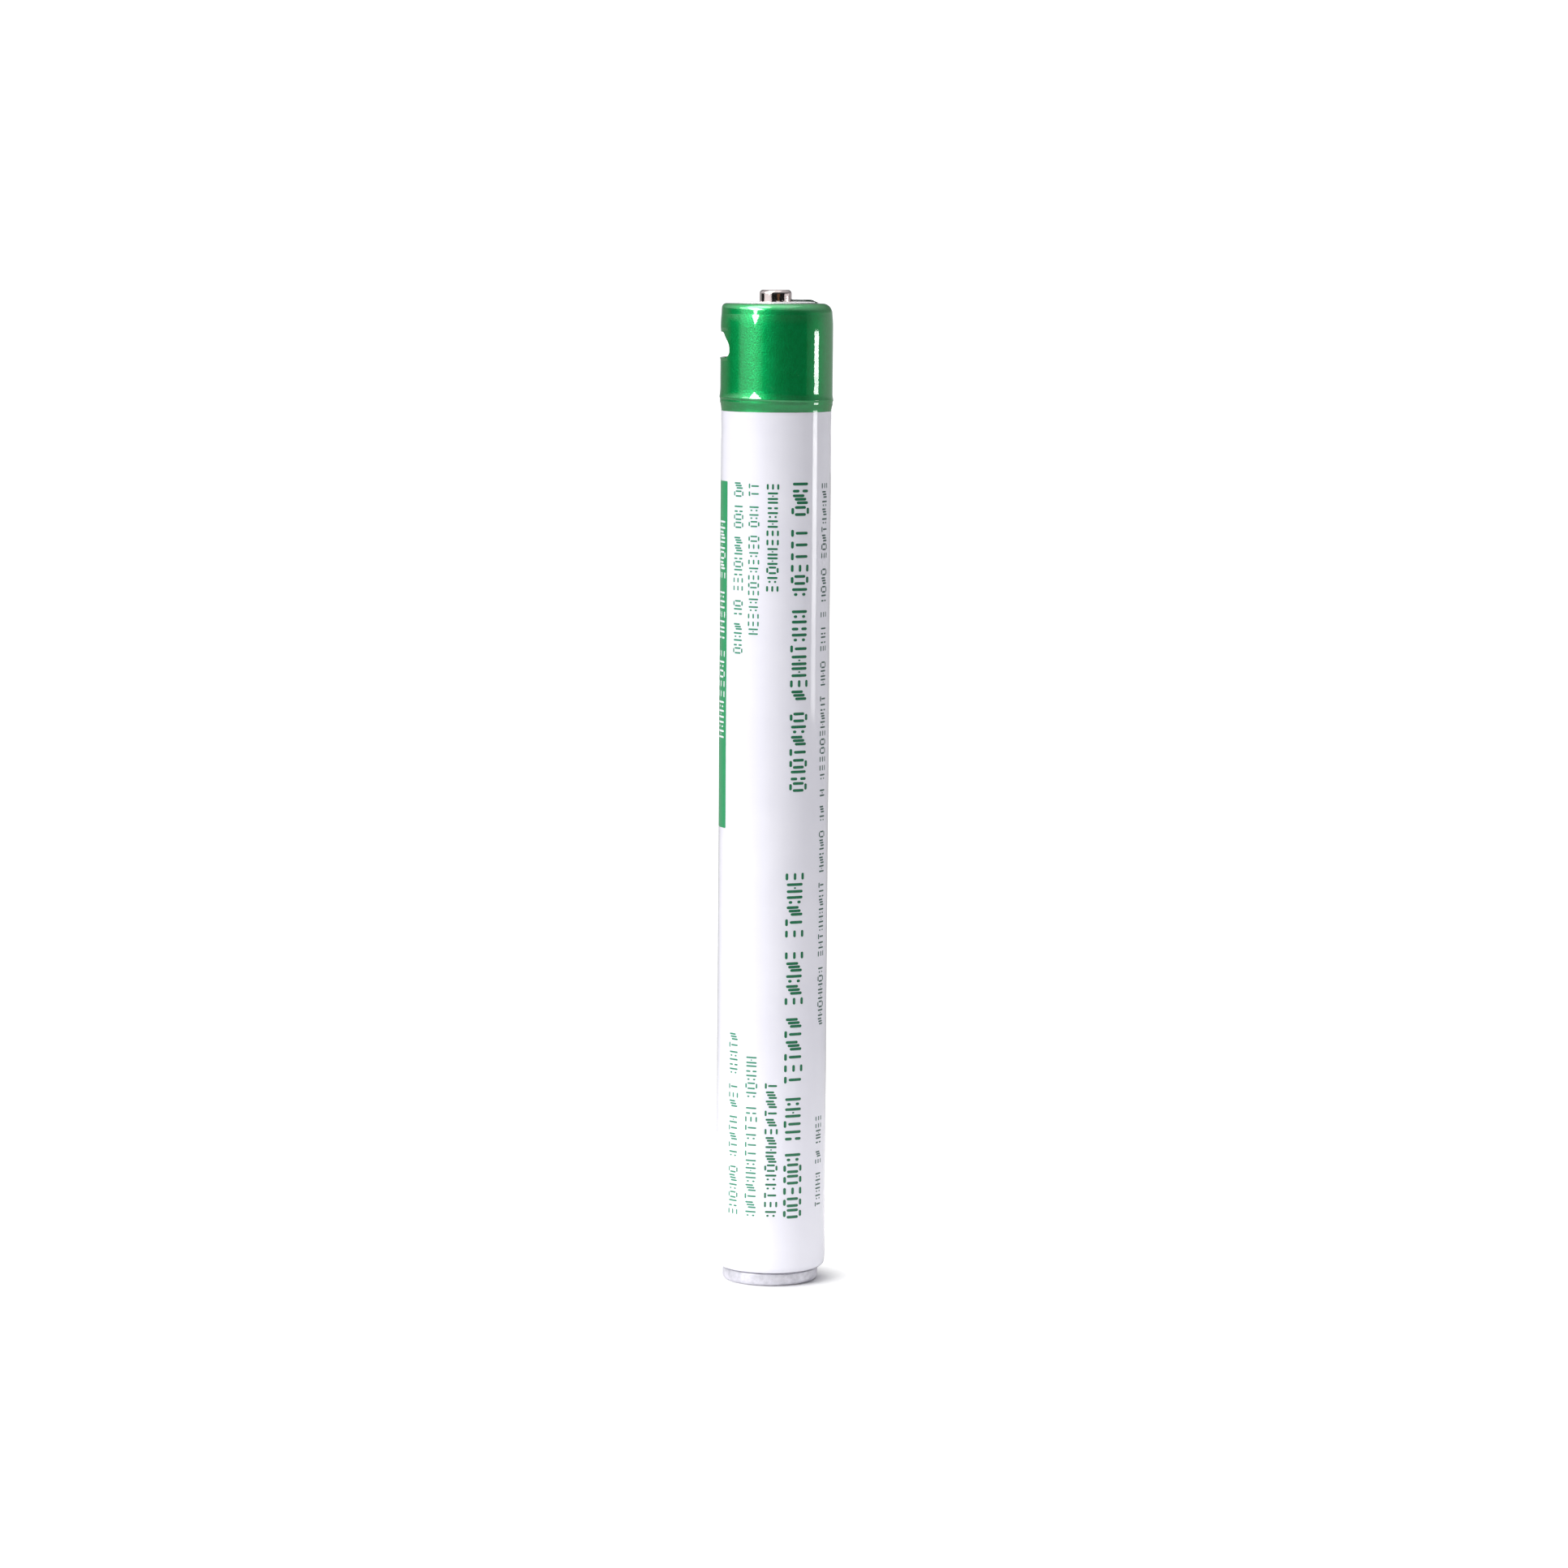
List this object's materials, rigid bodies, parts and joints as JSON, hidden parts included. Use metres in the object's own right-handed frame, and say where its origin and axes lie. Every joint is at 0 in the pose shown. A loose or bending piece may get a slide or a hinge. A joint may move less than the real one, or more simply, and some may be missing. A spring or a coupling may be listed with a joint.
{
  "type": "cylindrical battery cell",
  "caption": "Slim cylindrical rechargeable battery cell with a film-wrapped steel can, a raised positive button, a flat negative contact and a charging port in its head.",
  "frame": {"origin": "centre of the negative contact's lower face, where the battery stands", "axes": "+Z along the cell's axis to the positive button, -X out through the charging port, +Y towards the negative strip's ridge under the film"},
  "size_m": [0.0104, 0.0106, 0.0906],
  "materials": {
    "white_film": "glossy white printed shrink film, smooth, with green and grey ink",
    "green_film": "glossy pearl green shrink film with an orange-peel surface",
    "contact_nickel": "bright nickel plate, slightly warm, fine handling marks",
    "can_steel": "nickel-plated drawn steel",
    "socket_steel": "nickel-plated folded sheet",
    "lead_nickel": "rolled nickel strip",
    "bare_aluminium": "rolled aluminium",
    "anode_coating": "matt graphite coating on copper foil",
    "cathode_coating": "matt oxide coating on aluminium foil",
    "separator_film": "thin satin white film",
    "fibre_paper": "pressed grey-green insulating paper",
    "amber_tape": "clear amber film tape",
    "seal_plastic": "moulded dark sealing plastic",
    "end_washer": "white insulating washer",
    "limiter_polymer": "carbon-filled polymer",
    "head_housing": "moulded black plastic",
    "socket_plastic": "black glass-filled plastic",
    "circuit_board": "green solder mask on glass laminate",
    "gold_plate": "gold-plated brass",
    "chip_epoxy": "black moulded epoxy",
    "capacitor_ceramic": "tan fired ceramic",
    "led_lens": "milky cast resin"
  },
  "bodies": {
    "root": {"body_wrap": "white_film", "head_wrap": "green_film", "negative_contact": "contact_nickel", "positive_button": "contact_nickel", "cell_cap": "contact_nickel", "can": "can_steel", "usb_shell": "socket_steel", "negative_strip": "lead_nickel", "anode_tab": "lead_nickel", "cell_positive_lead": "lead_nickel", "can_lead": "lead_nickel", "cathode_tab": "bare_aluminium", "interrupter_plate": "bare_aluminium", "vent_disc": "bare_aluminium", "anode_sheet": "anode_coating", "cathode_sheet": "cathode_coating", "separator_inner": "separator_film", "separator_outer": "separator_film", "contact_insulator": "fibre_paper", "can_bottom_insulator": "fibre_paper", "roll_top_insulator": "fibre_paper", "rim_insulator": "fibre_paper", "strip_tape": "amber_tape", "roll_tape": "amber_tape", "crimp_gasket": "seal_plastic", "interrupter_ring": "seal_plastic", "top_insulator": "end_washer", "current_limiter_ring": "limiter_polymer", "head_base": "head_housing", "head_cap": "head_housing", "usb_tongue": "socket_plastic", "main_board": "circuit_board", "contact_board": "circuit_board", "board_pin_1": "gold_plate", "board_pin_2": "gold_plate", "usb_contact_1": "gold_plate", "usb_contact_2": "gold_plate", "usb_contact_3": "gold_plate", "usb_contact_4": "gold_plate", "usb_contact_5": "gold_plate", "charger_ic": "chip_epoxy", "protection_ic": "chip_epoxy", "program_resistor": "chip_epoxy", "sense_resistor": "chip_epoxy", "led_resistor": "chip_epoxy", "input_capacitor": "capacitor_ceramic", "cell_capacitor": "capacitor_ceramic", "status_led": "led_lens"}
  },
  "joints": []
}
